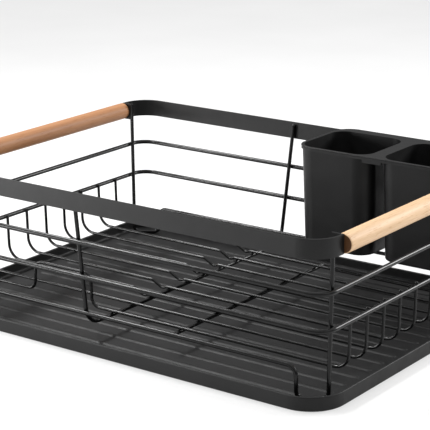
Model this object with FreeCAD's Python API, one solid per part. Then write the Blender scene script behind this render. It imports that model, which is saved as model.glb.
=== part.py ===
import FreeCAD, Part
import math
import os

# A wire dish drying rack: a wire basket hung in a flat rim band with wooden
# side handles, standing in a drip tray, with a lift-off cutlery holder.
# Millimetres. X runs along the long side, Y to the back, Z up. The origin is
# the centre of the tray's underside.

V = FreeCAD.Vector

# Rim band
BAND_HALF_X = 240.0
BAND_HALF_Y = 179.0
BAND_TOP = 157.0
BAND_HEIGHT = 18.0
BAND_THICK = 2.0
BAND_CORNER = 28.0
BAND_END_Y = 145.5
TAB_LENGTH = 10.0
TAB_HOLE = 4.0

# Wooden handles and their screws
HANDLE_DIAMETER = 18.0
HANDLE_X = 239.0
HANDLE_EDGE = 1.2
SCREW_X = 234.0
SCREW_DIAMETER = 3.5
SCREW_DEPTH = 20.0
SCREW_BORE = 3.6
SCREW_HEAD = 7.0
SCREW_HEAD_HIGH = 2.2
SOCKET_ACROSS = 2.5
SOCKET_DEPTH = 1.3

# Posts, rings and frame wires
POST_DIAMETER = 4.0
POST_TOP = 153.0
CORNER_POST_X = 235.4
CORNER_POST_Y = 156.2
CORNER_LEAN = 0.045
U_POST_Y = 175.0
U_FRONT_LEAN = 0.13
U_BACK_LEAN = 0.04
U_FRONT_TOP_X = -38.5
U_BACK_TOP_X = -25.0
U_RUN_FRONT_X = -40.5
U_RUN_BACK_X = -37.5
U_RUN_Z = 19.2
U_BEND = 20.0
RING_DIAMETER = 4.6
UPPER_RING_Z = 107.0
UPPER_RING_CORNER = 18.0
MIDDLE_RING_Z = 71.5
MIDDLE_RING_CORNER = 17.0
FOOT_Z = 4.5
FOOT_BEND = 6.0
RAIL_BEND = 10.0
FRONT_RAIL = (203.3, 163.1, 33.3)
BACK_RAIL = (204.0, 165.1, 32.8)
CROSS_WIRE_X = 43.0
CROSS_WIRE_END = 129.0

# Base wires
BASE_DIAMETER = 3.0
BASE_COUNT = 9
BASE_PITCH = 29.6
BASE_FAN = 0.5
BASE_SHIFT = 2.0
BASE_BEND = 15.5
BASE_LEG_LEAN = 1.2
BASE_TIP_RISE = 1.2
BASE_LOW_Z = 22.7
BASE_HIGH_Z = 27.2
STEP_TOP_X = -60.0
STEP_FOOT_X = -48.0
STEP_END_X = -42.0
STEP_DIP = 1.8
STEP_BEND = 5.0
STRAIGHT_WIRE = 8
HUMP_WIRE = 9
HUMP_LEFT_X = -140.0
HUMP_RIGHT_X = -66.0
HUMP_TOP_Z = 56.0
HUMP_BASE_Z = 26.0
HUMP_BEND = 9.0

# Drip tray
TRAY_HALF_X = 242.6
TRAY_HALF_Y = 182.0
TRAY_RIM_Z = 12.6
TRAY_CORNER = 36.0
TRAY_WALL = 2.5
TRAY_FLOOR = 2.2
TRAY_INNER_FILLET = 3.0
TRAY_EDGE_ROUND = 1.2
RIDGE_TOP = 3.2
RIDGE_RADIUS = 6.0
RIDGE_PITCH = 21.8
RIDGE_COUNT = 15
RIDGE_HALF_LENGTH = 219.0
RIDGE_CORNER_LOSS = 8.0

# Cutlery holder
HOLDER_TOP = 159.0
HOLDER_PLATE = 1.7
HOLDER_LEFT = 35.0
HOLDER_RIGHT = 219.5
HOLDER_FRONT = 85.0
HOLDER_REAR = 181.4
HOLDER_CORNER = 20.0
LIP_REAR = 174.2
LIP_HEIGHT = 3.6
LIP_THICK = 2.4
TUB_CENTRES_X = (79.0, 175.5)
TUB_HALF_X_TOP = 42.5
TUB_HALF_X_BOTTOM = 41.0
TUB_FRONT_TOP = 86.5
TUB_FRONT_BOTTOM = 91.5
TUB_REAR_TOP = 170.0
TUB_REAR_BOTTOM = 167.5
TUB_BOTTOM = 51.0
TUB_CORNER = 18.0
TUB_WALL = 1.8
TUB_FLOOR = 2.0
TUB_BOTTOM_ROUND = 3.0
DRAIN_DIAMETER = 5.0
DRAIN_STEP = 18.0
HOOK_LEFT = 58.0
HOOK_RIGHT = 198.0
HOOK_LOW = 145.0
HOOK_FRONT = 179.3
SKIRT_HALF = 11.0
SKIRT_DEPTH = 6.5
GUSSET_Y = 102.0
GUSSET_DEPTH = 9.0
GUSSET_THICK = 2.0


def unit(vector):
    return V(vector).normalize()


def save(shape, name):
    """Write one node."""
    shape.exportStep("parts/" + name + ".step")


def one_solid(pieces):
    """Fuse touching solids into a single clean solid."""
    fused = pieces[0].multiFuse(pieces[1:]).removeSplitter()
    return fused.Solids[0]


def mirrored_y(shape):
    return shape.mirror(V(0, 0, 0), V(0, 1, 0))


# ---- wire forming ----------------------------------------------------------


def bend_points(before, corner, after, radius):
    """Start, end and centre of the rounded bend at a corner of a path."""
    to_before = unit(before - corner)
    to_after = unit(after - corner)
    half_angle = to_before.getAngle(to_after) / 2
    setback = radius / math.tan(half_angle)
    centre_distance = radius / math.sin(half_angle)
    centre = corner + unit(to_before + to_after) * centre_distance
    return corner + to_before * setback, corner + to_after * setback, centre


def straight_run(start, end, radius):
    run = end - start
    return Part.makeCylinder(radius, run.Length, start, run)


def bent_run(start, end, centre, radius):
    """A wire bend: a disc turned about the centre of the bend."""
    arm = start - centre
    far_arm = end - centre
    axis = unit(arm.cross(far_arm))
    disc = Part.Face(Part.Wire(Part.makeCircle(radius, start, axis.cross(arm))))
    return disc.revolve(centre, axis, math.degrees(arm.getAngle(far_arm)))


def open_wire(points, bends, diameter):
    """A bent round wire with rounded free ends."""
    radius = diameter / 2
    pieces = []
    at = points[0]
    for index, bend in enumerate(bends, start=1):
        start, end, centre = bend_points(points[index - 1], points[index], points[index + 1], bend)
        pieces.append(straight_run(at, start, radius))
        pieces.append(bent_run(start, end, centre, radius))
        at = end
    pieces.append(straight_run(at, points[-1], radius))
    pieces.append(Part.makeSphere(radius, points[0]))
    pieces.append(Part.makeSphere(radius, points[-1]))
    return one_solid(pieces)


def closed_ring(half_x, front, back, z, corner, diameter):
    """A closed rectangular wire ring with rounded corners."""
    radius = diameter / 2
    points = [V(half_x, front, z), V(half_x, back, z), V(-half_x, back, z), V(-half_x, front, z)]
    bends = [bend_points(points[i - 1], points[i], points[(i + 1) % 4], corner) for i in range(4)]
    pieces = []
    for index, (start, end, centre) in enumerate(bends):
        next_start = bends[(index + 1) % 4][0]
        pieces.append(bent_run(start, end, centre, radius))
        pieces.append(straight_run(end, next_start, radius))
    return one_solid(pieces)


# ---- rounded plates and blocks ---------------------------------------------


def rounded_outline(x0, x1, y0, y1, corner, z):
    """A closed rectangular wire with rounded plan corners."""
    points = [V(x1, y0, z), V(x1, y1, z), V(x0, y1, z), V(x0, y0, z)]
    edges = []
    bends = [bend_points(points[i - 1], points[i], points[(i + 1) % 4], corner) for i in range(4)]
    for index, (start, end, centre) in enumerate(bends):
        middle = centre + unit(points[index] - centre) * corner
        edges.append(Part.Arc(start, middle, end).toShape())
        edges.append(Part.makeLine(end, bends[(index + 1) % 4][0]))
    return Part.Wire(edges)


def rounded_block(x0, x1, y0, y1, z0, z1, corner):
    face = Part.Face(rounded_outline(x0, x1, y0, y1, corner, z0))
    return face.extrude(V(0, 0, z1 - z0))


def box(x0, x1, y0, y1, z0, z1):
    return Part.makeBox(x1 - x0, y1 - y0, z1 - z0, V(x0, y0, z0))


def edges_at(shape, z):
    """The edges that lie flat at one height."""
    near = 0.01
    return [e for e in shape.Edges if abs(e.BoundBox.ZMin - z) < near and abs(e.BoundBox.ZMax - z) < near]


# ---- rim band, handles and screws ------------------------------------------


def rim_band_front():
    """The front half of the rim: a C-shaped flat band with a drilled tab at each end."""
    low = BAND_TOP - BAND_HEIGHT
    inner_x = BAND_HALF_X - BAND_THICK
    inner_y = BAND_HALF_Y - BAND_THICK
    outer = rounded_block(-BAND_HALF_X, BAND_HALF_X, -BAND_HALF_Y, BAND_HALF_Y, low, BAND_TOP, BAND_CORNER)
    inner_corner = BAND_CORNER - BAND_THICK
    inner = rounded_block(-inner_x, inner_x, -inner_y, inner_y, low, BAND_TOP, inner_corner)
    keep = box(-BAND_HALF_X, BAND_HALF_X, -BAND_HALF_Y, -BAND_END_Y, low, BAND_TOP)
    pieces = [outer.cut(inner).common(keep)]
    for side in (-1, 1):
        x0, x1 = sorted((side * BAND_HALF_X, side * (inner_x - TAB_LENGTH)))
        tab = box(x0, x1, -BAND_END_Y - BAND_THICK, -BAND_END_Y, low, BAND_TOP)
        pieces.append(tab.common(outer))
    band = one_solid(pieces)
    middle = BAND_TOP - BAND_HEIGHT / 2
    for side in (-1, 1):
        start = V(side * SCREW_X, -BAND_END_Y - 2 * BAND_THICK, middle)
        band = band.cut(Part.makeCylinder(TAB_HOLE / 2, 3 * BAND_THICK, start, V(0, 1, 0)))
    return band.Solids[0]


def handle(side):
    """A turned wooden rod with a screw bore in each end."""
    middle = BAND_TOP - BAND_HEIGHT / 2
    length = 2 * BAND_END_Y
    rod = Part.makeCylinder(HANDLE_DIAMETER / 2, length, V(side * HANDLE_X, -BAND_END_Y, middle), V(0, 1, 0))
    ends = [e for e in rod.Edges if abs(e.BoundBox.YMax - e.BoundBox.YMin) < 1]
    rod = rod.makeFillet(HANDLE_EDGE, ends)
    for end in (-1, 1):
        start = V(side * SCREW_X, end * BAND_END_Y, middle)
        rod = rod.cut(Part.makeCylinder(SCREW_BORE / 2, SCREW_DEPTH + 1, start, V(0, -end, 0)))
    return rod.Solids[0]


def screw(side, end):
    """One socket-head screw, driven through the tab into the handle's end."""
    middle = BAND_TOP - BAND_HEIGHT / 2
    seat = V(side * SCREW_X, end * (BAND_END_Y + BAND_THICK), middle)
    inward = V(0, -end, 0)
    shank = Part.makeCylinder(SCREW_DIAMETER / 2, SCREW_DEPTH + BAND_THICK, seat, inward)
    head = Part.makeCylinder(SCREW_HEAD / 2, SCREW_HEAD_HIGH, seat, V(0, end, 0))
    top = end * (BAND_END_Y + BAND_THICK + SCREW_HEAD_HIGH)
    rim = [e for e in head.Edges if abs(e.BoundBox.YMin - top) < 0.1 and abs(e.BoundBox.YMax - top) < 0.1]
    head = head.makeFillet(0.8, rim)
    corners = [(SOCKET_ACROSS / math.sqrt(3), k * math.pi / 3) for k in range(7)]
    hexagon = [V(seat.x + r * math.cos(a), top, middle + r * math.sin(a)) for r, a in corners]
    socket = Part.Face(Part.makePolygon(hexagon)).extrude(inward * SOCKET_DEPTH)
    return one_solid([shank, head]).cut(socket).Solids[0]


# ---- basket wires ----------------------------------------------------------


def corner_post_at(z):
    """Centre of the front right corner post at a height."""
    drop = CORNER_LEAN * (POST_TOP - z)
    return V(CORNER_POST_X - drop, -(CORNER_POST_Y - drop), z)


def middle_post_at(side, z):
    """Centre of the front (-1) or back (1) middle post at a height."""
    top_x, run_x, lean = U_FRONT_TOP_X, U_RUN_FRONT_X, U_FRONT_LEAN
    if side > 0:
        top_x, run_x, lean = U_BACK_TOP_X, U_RUN_BACK_X, U_BACK_LEAN
    share = (POST_TOP - z) / (POST_TOP - U_RUN_Z)
    return V(top_x + share * (run_x - top_x), side * (U_POST_Y - lean * (POST_TOP - z)), z)


def ring_edges(z):
    """Centreline half length, front and back of a ring that touches the posts from outside."""
    beside = (POST_DIAMETER + RING_DIAMETER) / 2
    half_x = corner_post_at(z).x + beside
    return half_x, middle_post_at(-1, z).y - beside, middle_post_at(1, z).y + beside


def ring(z, corner):
    half_x, front, back = ring_edges(z)
    return closed_ring(half_x, front, back, z, corner, RING_DIAMETER)


def frame_wire(rail):
    """Corner post, foot, leg, long rail, leg, foot and corner post in one wire."""
    leg_x, rail_y, rail_z = rail
    half = [
        corner_post_at(POST_TOP),
        corner_post_at(FOOT_Z),
        V(leg_x + 1.0, -rail_y - 1.0, FOOT_Z),
        V(leg_x, -rail_y, rail_z),
    ]
    other = [V(-p.x, p.y, p.z) for p in reversed(half)]
    bends = [FOOT_BEND, FOOT_BEND, RAIL_BEND, RAIL_BEND, FOOT_BEND, FOOT_BEND]
    return open_wire(half + other, bends, POST_DIAMETER)


def middle_u_wire():
    """The wide U that carries the middle of the basket from front to back."""
    points = [
        middle_post_at(-1, POST_TOP),
        middle_post_at(-1, U_RUN_Z),
        middle_post_at(1, U_RUN_Z),
        middle_post_at(1, POST_TOP),
    ]
    return open_wire(points, [U_BEND, U_BEND], POST_DIAMETER)


def cross_wire():
    ends = [V(CROSS_WIRE_X, y, U_RUN_Z) for y in (-CROSS_WIRE_END, CROSS_WIRE_END)]
    return open_wire(ends, [], POST_DIAMETER)


def base_profile(number):
    """Corner points (x, z) and bend radii of a base wire between its two legs."""
    if number == STRAIGHT_WIRE:
        return [], []
    if number == HUMP_WIRE:
        points = [
            (HUMP_LEFT_X - 1, HUMP_BASE_Z),
            (HUMP_LEFT_X + 1, HUMP_TOP_Z),
            (HUMP_RIGHT_X - 1, HUMP_TOP_Z),
            (HUMP_RIGHT_X, BASE_LOW_Z),
        ]
        return points, [HUMP_BEND] * 4
    points = [
        (STEP_TOP_X, BASE_HIGH_Z),
        (STEP_FOOT_X, BASE_LOW_Z - STEP_DIP),
        (STEP_END_X, BASE_LOW_Z),
    ]
    return points, [STEP_BEND] * 3


def base_wire(number):
    """One floor wire, turned up at both ends to the middle ring.

    The wires fan out a little to the left, and their right ends sit slightly forward.
    """
    half_x = ring_edges(MIDDLE_RING_Z)[0] - (RING_DIAMETER + BASE_DIAMETER) / 2
    left_z = BASE_HIGH_Z
    if number == STRAIGHT_WIRE:
        left_z = BASE_LOW_Z
    if number == HUMP_WIRE:
        left_z = HUMP_BASE_Z
    inner, inner_bends = base_profile(number)
    low_x = half_x - BASE_LEG_LEAN
    tip_z = MIDDLE_RING_Z + BASE_TIP_RISE
    outline = [(-half_x, tip_z), (-low_x, left_z)]
    outline += inner
    outline += [(low_x, BASE_LOW_Z), (half_x, tip_z)]
    points = []
    for x, z in outline:
        share = x / half_x
        y = (5 - number) * (BASE_PITCH - BASE_FAN * share) - BASE_SHIFT * (1 + share)
        points.append(V(x, y, z))
    return open_wire(points, [BASE_BEND] + inner_bends + [BASE_BEND], BASE_DIAMETER)


# ---- drip tray -------------------------------------------------------------


def ridge(y, half_length):
    """A low rounded rib on the tray floor, with rounded ends."""
    centre_z = RIDGE_TOP - RIDGE_RADIUS
    start = V(-half_length, y, centre_z)
    bar = Part.makeCylinder(RIDGE_RADIUS, 2 * half_length, start, V(1, 0, 0))
    ends = [Part.makeSphere(RIDGE_RADIUS, V(x, y, centre_z)) for x in (-half_length, half_length)]
    capsule = bar.multiFuse(ends)
    reach = half_length + RIDGE_RADIUS
    slab = box(-reach, reach, y - RIDGE_RADIUS, y + RIDGE_RADIUS, TRAY_FLOOR / 2, RIDGE_TOP)
    return capsule.common(slab)


def drip_tray():
    """A shallow rectangular tray with a thin upright rim and a ribbed floor."""
    x = TRAY_HALF_X
    y = TRAY_HALF_Y
    tray = rounded_block(-x, x, -y, y, 0, TRAY_RIM_Z, TRAY_CORNER)
    tray = tray.makeFillet(TRAY_EDGE_ROUND, edges_at(tray, 0))
    x -= TRAY_WALL
    y -= TRAY_WALL
    cavity = rounded_block(-x, x, -y, y, TRAY_FLOOR, 2 * TRAY_RIM_Z, TRAY_CORNER - TRAY_WALL)
    cavity = cavity.makeFillet(TRAY_INNER_FILLET, edges_at(cavity, TRAY_FLOOR))
    tray = tray.cut(cavity)
    ridges = []
    for index in range(RIDGE_COUNT):
        from_middle = index - (RIDGE_COUNT - 1) / 2
        at_edge = abs(from_middle) == (RIDGE_COUNT - 1) / 2
        half_length = RIDGE_HALF_LENGTH - (RIDGE_CORNER_LOSS if at_edge else 0)
        ridges.append(ridge(from_middle * RIDGE_PITCH, half_length))
    return tray.multiFuse(ridges).removeSplitter().Solids[0]


# ---- cutlery holder --------------------------------------------------------


def tub(centre_x, inset, z_low, z_high):
    """A tapered tub between two heights, drawn in from the outside by an inset."""
    outlines = []
    for z in (z_low, z_high):
        share = (z - TUB_BOTTOM) / (HOLDER_TOP - TUB_BOTTOM)
        half_x = TUB_HALF_X_BOTTOM + share * (TUB_HALF_X_TOP - TUB_HALF_X_BOTTOM) - inset
        front = TUB_FRONT_BOTTOM + share * (TUB_FRONT_TOP - TUB_FRONT_BOTTOM) + inset
        rear = TUB_REAR_BOTTOM + share * (TUB_REAR_TOP - TUB_REAR_BOTTOM) - inset
        corner = TUB_CORNER - inset
        outlines.append(rounded_outline(centre_x - half_x, centre_x + half_x, front, rear, corner, z))
    return Part.makeLoft(outlines, True, True)


def drain_holes(centre_x):
    """A block of small round holes through a tub's floor."""
    middle_y = (TUB_FRONT_BOTTOM + TUB_REAR_BOTTOM) / 2
    holes = []
    for column in (-1, 0, 1):
        for row in (-1, 0, 1):
            at = V(centre_x + column * DRAIN_STEP, middle_y + row * DRAIN_STEP, TUB_BOTTOM - 1)
            holes.append(Part.makeCylinder(DRAIN_DIAMETER / 2, TUB_FLOOR + 2, at))
    return holes


def cutlery_holder():
    """Two tubs hung from a plate that hooks over the back of the rim band."""
    left, right, front = HOLDER_LEFT, HOLDER_RIGHT, HOLDER_FRONT
    plate_low = HOLDER_TOP - HOLDER_PLATE
    lip_low = HOLDER_TOP - LIP_HEIGHT
    plate = rounded_block(left, right, front, HOLDER_REAR, plate_low, HOLDER_TOP, HOLDER_CORNER)
    lip = rounded_block(left, right, front, LIP_REAR, lip_low, HOLDER_TOP, HOLDER_CORNER)
    inner_corner = HOLDER_CORNER - LIP_THICK
    inner_x = (left + LIP_THICK, right - LIP_THICK)
    inner_y = (front + LIP_THICK, LIP_REAR - LIP_THICK)
    within = rounded_block(*inner_x, *inner_y, lip_low, plate_low, inner_corner)
    hook = box(HOOK_LEFT, HOOK_RIGHT, HOOK_FRONT, HOLDER_REAR, HOOK_LOW, HOLDER_TOP)
    gap_x = sum(TUB_CENTRES_X) / 2
    skirt_low = HOLDER_TOP - SKIRT_DEPTH
    skirt = box(gap_x - SKIRT_HALF, gap_x + SKIRT_HALF, front, front + LIP_THICK, skirt_low, HOLDER_TOP)
    reach = TUB_CENTRES_X[1] - TUB_HALF_X_BOTTOM - gap_x
    gusset_low = plate_low - GUSSET_DEPTH
    gusset = box(gap_x - reach, gap_x + reach, GUSSET_Y, GUSSET_Y + GUSSET_THICK, gusset_low, HOLDER_TOP)
    pieces = [plate, lip.cut(within), hook, skirt, gusset]
    for x in TUB_CENTRES_X:
        outside = tub(x, 0, TUB_BOTTOM, HOLDER_TOP)
        pieces.append(outside.makeFillet(TUB_BOTTOM_ROUND, edges_at(outside, TUB_BOTTOM)))
    holder = one_solid(pieces)
    for x in TUB_CENTRES_X:
        holder = holder.cut(tub(x, TUB_WALL, TUB_BOTTOM + TUB_FLOOR, HOLDER_TOP + 1))
        holder = holder.cut(drain_holes(x))
    return holder.Solids[0]


os.makedirs("parts", exist_ok=True)

front_band = rim_band_front()
screws = [screw(side, end) for side in (-1, 1) for end in (-1, 1)]

save(front_band, "rim_band_front")
save(mirrored_y(front_band), "rim_band_back")
save(handle(-1), "handle_left")
save(handle(1), "handle_right")
save(Part.makeCompound(screws), "handle_screws")
save(ring(UPPER_RING_Z, UPPER_RING_CORNER), "upper_ring_wire")
save(ring(MIDDLE_RING_Z, MIDDLE_RING_CORNER), "middle_ring_wire")
save(frame_wire(FRONT_RAIL), "frame_wire_front")
save(mirrored_y(frame_wire(BACK_RAIL)), "frame_wire_back")
save(middle_u_wire(), "middle_u_wire")
save(cross_wire(), "cross_wire")
for wire_number in range(1, BASE_COUNT + 1):
    save(base_wire(wire_number), "base_wire_" + str(wire_number))
save(drip_tray(), "drip_tray")
save(cutlery_holder(), "cutlery_holder")
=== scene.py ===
import math

import bpy
import bmesh
from mathutils import Matrix, Vector


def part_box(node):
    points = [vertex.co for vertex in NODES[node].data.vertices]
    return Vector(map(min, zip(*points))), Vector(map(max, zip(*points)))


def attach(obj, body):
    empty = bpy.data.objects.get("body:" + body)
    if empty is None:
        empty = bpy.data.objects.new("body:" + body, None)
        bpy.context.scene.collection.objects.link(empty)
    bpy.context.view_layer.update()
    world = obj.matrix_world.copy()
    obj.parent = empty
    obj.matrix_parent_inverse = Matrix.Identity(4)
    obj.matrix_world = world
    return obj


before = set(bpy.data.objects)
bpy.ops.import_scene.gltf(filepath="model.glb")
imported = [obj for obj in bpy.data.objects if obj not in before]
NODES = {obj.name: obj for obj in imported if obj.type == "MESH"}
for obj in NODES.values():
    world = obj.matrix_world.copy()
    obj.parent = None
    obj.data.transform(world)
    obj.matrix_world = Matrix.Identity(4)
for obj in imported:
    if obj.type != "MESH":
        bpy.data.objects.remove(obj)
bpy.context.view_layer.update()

BASE_WIRES = ["base_wire_%d" % number for number in range(1, 10)]
RINGS = ["upper_ring_wire", "middle_ring_wire"]
FRAME_WIRES = ["frame_wire_front", "frame_wire_back", "middle_u_wire", "cross_wire"]

# Sizes of the small details, in metres
RING_DIAMETER = 0.0046
TRAY_WALL = 0.0025
TRAY_CORNER = 0.036
HOLDER_CORNER = 0.020
HOLDER_EDGE = 0.0009
EDGE_SUNK = 0.0002
WELD_RADIUS = 0.0014

# Shape of the weld beads and the rolled edges
WELD_SQUASH = 0.85
RIPPLE_DEPTH = 0.08
RIPPLE_ALONG_X = 2600.0
RIPPLE_ALONG_Z = 1900.0
RIPPLE_FROM_PLACE = 90.0
CORNER_STEPS = 14
EDGE_SIDES = 12

# Stage and camera: metres, degrees and the lens in millimetres
FLOOR_HALF = 9.0
FLOOR_GLOW = 0.39
SKY_STRENGTH = 1.15
SKY_LEVELS = ((0.0, 0.50), (0.14, 0.12), (0.42, 0.28), (0.80, 1.1))
CAMERA_PLACE = (0.97832, -1.34201, 0.58395)
CAMERA_AZIMUTH = 36.184
CAMERA_ELEVATION = 16.290
CAMERA_ROLL = -0.284
CAMERA_LENS = 143.70
SENSOR_WIDTH = 36.0
UP = Vector((0.0, 0.0, 1.0))


# ---- node helpers ----------------------------------------------------------


class Shader:
    """A principled material built up from procedural nodes."""

    def __init__(self, name, **sockets):
        self.material = bpy.data.materials.new(name)
        self.material.use_nodes = True
        self.tree = self.material.node_tree
        self.bsdf = self.tree.nodes["Principled BSDF"]
        for key, value in sockets.items():
            self.bsdf.inputs[key.replace("_", " ")].default_value = value
        self.coords = self.tree.nodes.new("ShaderNodeTexCoord").outputs["Object"]

    def node(self, kind, links=(), **settings):
        made = self.tree.nodes.new(kind)
        for key, value in settings.items():
            setattr(made, key, value)
        for socket, source in dict(links).items():
            if hasattr(source, "is_output"):
                self.tree.links.new(source, made.inputs[socket])
            else:
                made.inputs[socket].default_value = source
        return made

    def stretched(self, scale):
        return self.node("ShaderNodeMapping", {"Vector": self.coords, "Scale": scale}).outputs["Vector"]

    def noise(self, scale, detail=3.0, stretch=(1, 1, 1), distortion=0.0, roughness=0.5):
        links = {
            "Vector": self.stretched(stretch),
            "Scale": scale,
            "Detail": detail,
            "Distortion": distortion,
            "Roughness": roughness,
        }
        return self.node("ShaderNodeTexNoise", links).outputs["Fac"]

    def ramp(self, source, stops):
        made = self.node("ShaderNodeValToRGB", {"Fac": source})
        points = made.color_ramp.elements
        while len(points) < len(stops):
            points.new(0.5)
        for point, (at, colour) in zip(points, stops):
            point.position = at
            point.color = (*colour, 1.0)
        return made.outputs["Color"]

    def two_tones(self, source, dark, light):
        return self.ramp(source, [(0.3, dark), (0.7, light)])

    def value_range(self, source, low, high, start=0.3, end=0.7):
        links = {"Value": source, "From Min": start, "From Max": end, "To Min": low, "To Max": high}
        return self.node("ShaderNodeMapRange", links).outputs["Result"]

    def mix(self, factor, first, second, blend="MIX"):
        made = self.node("ShaderNodeMix", {"Factor": factor}, data_type="RGBA", blend_type=blend)
        self.connect(first, made.inputs["A"] if made.inputs["A"].type == "RGBA" else made.inputs[6])
        self.connect(second, made.inputs["B"] if made.inputs["B"].type == "RGBA" else made.inputs[7])
        return made.outputs[2]

    def connect(self, source, socket):
        if hasattr(source, "is_output"):
            self.tree.links.new(source, socket)
        else:
            socket.default_value = (*source, 1.0) if len(source) == 3 else source

    def set(self, name, source):
        self.tree.links.new(source, self.bsdf.inputs[name])

    def bump(self, height, strength, distance):
        links = {"Height": height, "Strength": strength, "Distance": distance}
        made = self.node("ShaderNodeBump", links)
        self.set("Normal", made.outputs["Normal"])


def grey(value):
    """A grey with a slight blue cast."""
    return (value, value, value * 1.02)


def coated_steel(name, dark, light, rough_low, rough_high, specular=0.5):
    """Black powder coat over steel: a fine orange peel, with slightly uneven gloss."""
    shader = Shader(name, Specular_IOR_Level=specular)
    shader.set("Base Color", shader.two_tones(shader.noise(60.0), grey(dark), grey(light)))
    shader.set("Roughness", shader.value_range(shader.noise(140.0), rough_low, rough_high))
    shader.bump(shader.noise(1500.0, detail=2.0), 0.12, 0.00012)
    return shader.material


def beech(name, pale, warm, dark):
    """Sealed beech with long grain along Y, short flecks, and end faces darkened to a near-black brown:
    partly real end grain, partly painted shade.
    """
    shader = Shader(name, Specular_IOR_Level=0.35)
    broad = shader.noise(22.0, detail=4.0, stretch=(1.0, 0.06, 1.0), distortion=0.6)
    fine = shader.noise(260.0, detail=5.0, stretch=(1.0, 0.035, 1.0), roughness=0.65)
    base = shader.ramp(broad, [(0.30, warm), (0.52, pale), (0.75, warm)])
    streaks = shader.ramp(fine, [(0.35, (0.80, 0.76, 0.70)), (0.60, (1.0, 1.0, 1.0))])
    grained = shader.mix(0.75, base, streaks, blend="MULTIPLY")
    short = shader.noise(900.0, detail=1.0, stretch=(1.0, 0.09, 1.0))
    flecks = shader.ramp(short, [(0.60, (1.0, 1.0, 1.0)), (0.70, (0.82, 0.74, 0.64))])
    grained = shader.mix(0.8, grained, flecks, blend="MULTIPLY")
    normal = shader.node("ShaderNodeNewGeometry").outputs["Normal"]
    along = shader.node("ShaderNodeSeparateXYZ", {"Vector": normal}).outputs["Y"]
    facing_end = shader.node("ShaderNodeMath", {0: along}, operation="ABSOLUTE").outputs["Value"]
    # Faces pointing along Y, the ends, take the end tone: partly real darker end grain, partly painted
    # shade.
    end_grain_and_shade = shader.value_range(facing_end, 0.0, 1.0, start=0.86, end=0.97)
    shader.set("Base Color", shader.mix(end_grain_and_shade, grained, dark))
    shader.set("Roughness", shader.value_range(broad, 0.42, 0.55))
    shader.bump(fine, 0.25, 0.0002)
    return shader.material


def moulded_plastic(name, dark, light, rough_low, rough_high, grain, depth):
    """Matte moulded plastic with a fine sparked texture."""
    shader = Shader(name, Specular_IOR_Level=0.3)
    shader.set("Base Color", shader.two_tones(shader.noise(35.0, detail=4.0), grey(dark), grey(light)))
    shader.set("Roughness", shader.value_range(shader.noise(90.0), rough_low, rough_high))
    shader.bump(shader.noise(grain, detail=2.0), 0.35, depth)
    return shader.material


def coat(names, material):
    for name in names:
        node = NODES[name]
        node.data.materials.clear()
        node.data.materials.append(material)


def dress_nodes():
    """Coat every node, and return the wires' coating for the weld beads."""
    wire = coated_steel("wire_coating", 0.003, 0.005, 0.19, 0.27, specular=0.28)
    band = coated_steel("band_coating", 0.004, 0.007, 0.40, 0.48, specular=0.32)
    screws = coated_steel("screw_finish", 0.03, 0.05, 0.3, 0.4)
    # The near-black brown of the handle ends: partly real end grain, partly painted shade.
    end_grain_and_shade = (0.085, 0.034, 0.010)
    right = beech("beech_right", (0.80, 0.56, 0.35), (0.62, 0.37, 0.19), end_grain_and_shade)
    # The left handle gets a darker, redder copy of the right handle's beech: partly the natural
    # variation between pieces of wood, partly painted shade.
    left = beech("beech_left_painted_shade", (0.44, 0.21, 0.095), (0.34, 0.145, 0.06), end_grain_and_shade)
    tray = moulded_plastic("tray_plastic", 0.004, 0.007, 0.46, 0.56, 1300.0, 0.00005)
    holder = moulded_plastic("holder_plastic", 0.004, 0.006, 0.38, 0.48, 1800.0, 0.0001)
    coat(BASE_WIRES + RINGS + FRAME_WIRES, wire)
    coat(["rim_band_front", "rim_band_back"], band)
    coat(["handle_screws"], screws)
    coat(["handle_right"], right)
    coat(["handle_left"], left)
    coat(["drip_tray"], tray)
    coat(["cutlery_holder"], holder)
    return wire


# ---- weld beads and rolled edges -------------------------------------------


def new_piece(name, maker, material, body):
    """A smooth mesh piece that rides one body."""
    mesh = bpy.data.meshes.new(name)
    maker.to_mesh(mesh)
    maker.free()
    mesh.polygons.foreach_set("use_smooth", [True] * len(mesh.polygons))
    mesh.materials.append(material)
    piece = bpy.data.objects.new(name, mesh)
    bpy.context.scene.collection.objects.link(piece)
    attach(piece, body)
    return piece


def middle(box):
    """The centre of a box."""
    return (Vector(box[0]) + Vector(box[1])) / 2


def nearest(node, point):
    """The point of a node's surface nearest to a place."""
    return NODES[node].closest_point_on_mesh(point)[1]


def weld_places():
    """The spots where the floor wires and the posts are welded to the rings."""
    places = []
    ring_boxes = {name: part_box(name) for name in RINGS}
    ring_low, ring_high = ring_boxes["middle_ring_wire"]
    ring_z = (ring_low[2] + ring_high[2]) / 2
    for name in BASE_WIRES:
        low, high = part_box(name)
        y = (low[1] + high[1]) / 2
        for x in (low[0], high[0]):
            places.append(nearest("middle_ring_wire", (x, y, ring_z)))
    for low, high in ring_boxes.values():
        z = (low[2] + high[2]) / 2
        for frame_wire, inner in (("frame_wire_front", 1), ("frame_wire_back", 0)):
            post_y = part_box(frame_wire)[inner][1]
            for x in (low[0] + RING_DIAMETER, high[0] - RING_DIAMETER):
                places.append(nearest(frame_wire, (x, post_y, z)))
        for y in (low[1] + RING_DIAMETER, high[1] - RING_DIAMETER):
            x = middle(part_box("middle_u_wire")).x
            places.append(nearest("middle_u_wire", (x, y, z)))
    return places


def weld_beads(material):
    """A small rippled bead at every weld."""
    maker = bmesh.new()
    for place in weld_places():
        made = bmesh.ops.create_icosphere(maker, subdivisions=2, radius=WELD_RADIUS)
        for vertex in made["verts"]:
            x, y, z = vertex.co
            phase = RIPPLE_ALONG_X * x + RIPPLE_ALONG_Z * z + RIPPLE_FROM_PLACE * place.y
            ripple = 1.0 + RIPPLE_DEPTH * math.sin(phase)
            vertex.co = place + Vector((x, y, WELD_SQUASH * z)) * ripple
    new_piece("weld_beads", maker, material, "rack")


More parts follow.
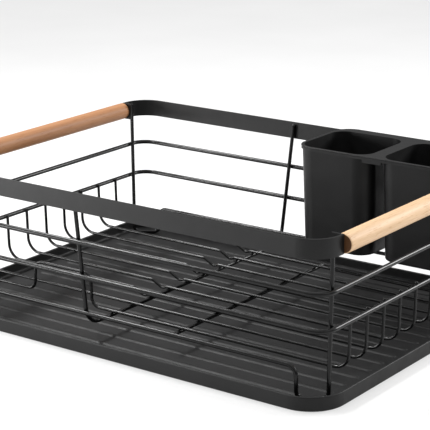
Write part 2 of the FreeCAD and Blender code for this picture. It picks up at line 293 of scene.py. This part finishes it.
def rounded_loop(low, high, corner, z):
    """Points of a level rounded rectangle, the same number round each corner."""
    points = []
    inner_low = (low[0] + corner, low[1] + corner)
    inner_high = (high[0] - corner, high[1] - corner)
    quarters = ((inner_high[0], inner_low[1]), inner_high, (inner_low[0], inner_high[1]), inner_low)
    for quarter, (x, y) in enumerate(quarters):
        for step in range(CORNER_STEPS + 1):
            angle = math.radians(-90.0 + 90.0 * quarter + 90.0 * step / CORNER_STEPS)
            points.append(Vector((x + corner * math.cos(angle), y + corner * math.sin(angle), z)))
    return points


def rolled_edge(maker, points, radius):
    """A thin round bead along a closed loop."""
    rows = []
    for index, point in enumerate(points):
        along = (points[(index + 1) % len(points)] - points[index - 1]).normalized()
        outward = along.cross(UP)
        row = []
        for side in range(EDGE_SIDES):
            angle = 2.0 * math.pi * side / EDGE_SIDES
            across, above = radius * math.cos(angle), radius * math.sin(angle)
            row.append(maker.verts.new(point + outward * across + UP * above))
        rows.append(row)
    for index, row in enumerate(rows):
        following = rows[(index + 1) % len(rows)]
        for side in range(EDGE_SIDES):
            beside = (side + 1) % EDGE_SIDES
            maker.faces.new((row[side], row[beside], following[beside], following[side]))


def edge_loop(low, high, inset, corner, drop):
    """A rounded loop inside a box's plan, a little below its top."""
    near = (low[0] + inset, low[1] + inset)
    far = (high[0] - inset, high[1] - inset)
    return rounded_loop(near, far, corner - inset, high[2] - drop)


def tray_edge():
    """The rounded top of the tray's rim."""
    low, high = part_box("drip_tray")
    half = TRAY_WALL / 2
    maker = bmesh.new()
    rolled_edge(maker, edge_loop(low, high, half, TRAY_CORNER, EDGE_SUNK), half)
    plastic = NODES["drip_tray"].data.materials[0]
    new_piece("tray_rim_edge", maker, plastic, "tray")


def holder_edge():
    """The softened outer edge of the cutlery holder's plate."""
    low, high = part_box("cutlery_holder")
    inset = HOLDER_EDGE - EDGE_SUNK
    maker = bmesh.new()
    rolled_edge(maker, edge_loop(low, high, inset, HOLDER_CORNER, inset), HOLDER_EDGE)
    plastic = NODES["cutlery_holder"].data.materials[0]
    new_piece("holder_plate_edge", maker, plastic, "cutlery")


def smooth_nodes():
    """Smooth shading on every CAD node."""
    for node in NODES.values():
        node.data.polygons.foreach_set("use_smooth", [True] * len(node.data.polygons))


# ---- stage, light and camera -----------------------------------------------


def pale_floor():
    """A plain pale floor with a faint glow, which keeps the shadows light."""
    maker = bmesh.new()
    signs = ((-1, -1), (1, -1), (1, 1), (-1, 1))
    maker.faces.new([maker.verts.new((x * FLOOR_HALF, y * FLOOR_HALF, 0.0)) for x, y in signs])
    mesh = bpy.data.meshes.new("floor")
    maker.to_mesh(mesh)
    maker.free()
    floor = bpy.data.objects.new("floor", mesh)
    bpy.context.scene.collection.objects.link(floor)
    shader = Shader("floor_paper", Roughness=0.9, Specular_IOR_Level=0.1, Emission_Strength=FLOOR_GLOW)
    shader.bsdf.inputs["Emission Color"].default_value = (1.0, 1.0, 1.0, 1.0)
    tones = shader.two_tones(shader.noise(6.0), (0.46, 0.46, 0.46), (0.48, 0.48, 0.48))
    shader.set("Base Color", tones)
    mesh.materials.append(shader.material)


def soft_light(name, place, aim, size, radiance):
    """A rectangular area light, as bright to look at as its radiance says."""
    data = bpy.data.lights.new(name, "AREA")
    data.shape = "RECTANGLE"
    data.size, data.size_y = size
    data.energy = radiance * math.pi * size[0] * size[1]
    light = bpy.data.objects.new(name, data)
    light.location = place
    light.rotation_euler = (Vector(aim) - Vector(place)).to_track_quat("-Z", "Y").to_euler()
    bpy.context.scene.collection.objects.link(light)


def sky():
    """Soft overhead light: bright above, a dim band lower down and a pale horizon."""
    world = bpy.data.worlds.new("studio")
    bpy.context.scene.world = world
    world.use_nodes = True
    tree = world.node_tree
    direction = tree.nodes.new("ShaderNodeTexCoord").outputs["Generated"]
    height = tree.nodes.new("ShaderNodeSeparateXYZ")
    tree.links.new(direction, height.inputs["Vector"])
    ramp = tree.nodes.new("ShaderNodeValToRGB")
    points = ramp.color_ramp.elements
    while len(points) < len(SKY_LEVELS):
        points.new(0.5)
    for point, (at, level) in zip(points, SKY_LEVELS):
        point.position = at
        point.color = (level, level, level, 1.0)
    tree.links.new(height.outputs["Z"], ramp.inputs["Fac"])
    background = tree.nodes["Background"]
    tree.links.new(ramp.outputs["Color"], background.inputs["Color"])
    background.inputs["Strength"].default_value = SKY_STRENGTH


def studio():
    """An overhead strip, a back light and two soft fills under the sky."""
    sky()
    centre = (0.0, 0.0, 0.08)
    soft_light("strip_left", (-0.72, 0.0, 0.95), (-0.05, 0.0, 0.08), (0.9, 0.13), 28.0)
    soft_light("back", (0.80, 1.15, 0.68), (0.2, 0.0, 0.09), (0.6, 0.50), 14.0)
    soft_light("front_left", (-1.00, -0.85, 0.22), (-0.15, -0.15, 0.12), (0.5, 0.35), 24.0)
    soft_light("right", (1.6, -0.2, 0.9), centre, (0.8, 0.6), 1.0)


def camera():
    """The main view: position, azimuth, elevation and roll."""
    azimuth, elevation = math.radians(CAMERA_AZIMUTH), math.radians(CAMERA_ELEVATION)
    roll = math.radians(CAMERA_ROLL)
    reach = math.cos(elevation)
    forward = Vector((-math.sin(azimuth) * reach, math.cos(azimuth) * reach, -math.sin(elevation)))
    level = Vector((math.cos(azimuth), math.sin(azimuth), 0.0))
    upright = level.cross(forward)
    right = level * math.cos(roll) + upright * math.sin(roll)
    up = upright * math.cos(roll) - level * math.sin(roll)
    data = bpy.data.cameras.new("camera")
    data.sensor_width = SENSOR_WIDTH
    data.lens = CAMERA_LENS
    data.clip_end = 60.0
    made = bpy.data.objects.new("camera", data)
    turned = Matrix((right, up, -forward)).transposed().to_4x4()
    made.matrix_world = Matrix.Translation(CAMERA_PLACE) @ turned
    bpy.context.scene.collection.objects.link(made)
    bpy.context.scene.camera = made


smooth_nodes()
wire_coating = dress_nodes()
weld_beads(wire_coating)
tray_edge()
holder_edge()
pale_floor()
studio()
camera()
bpy.context.scene.view_settings.view_transform = "Standard"
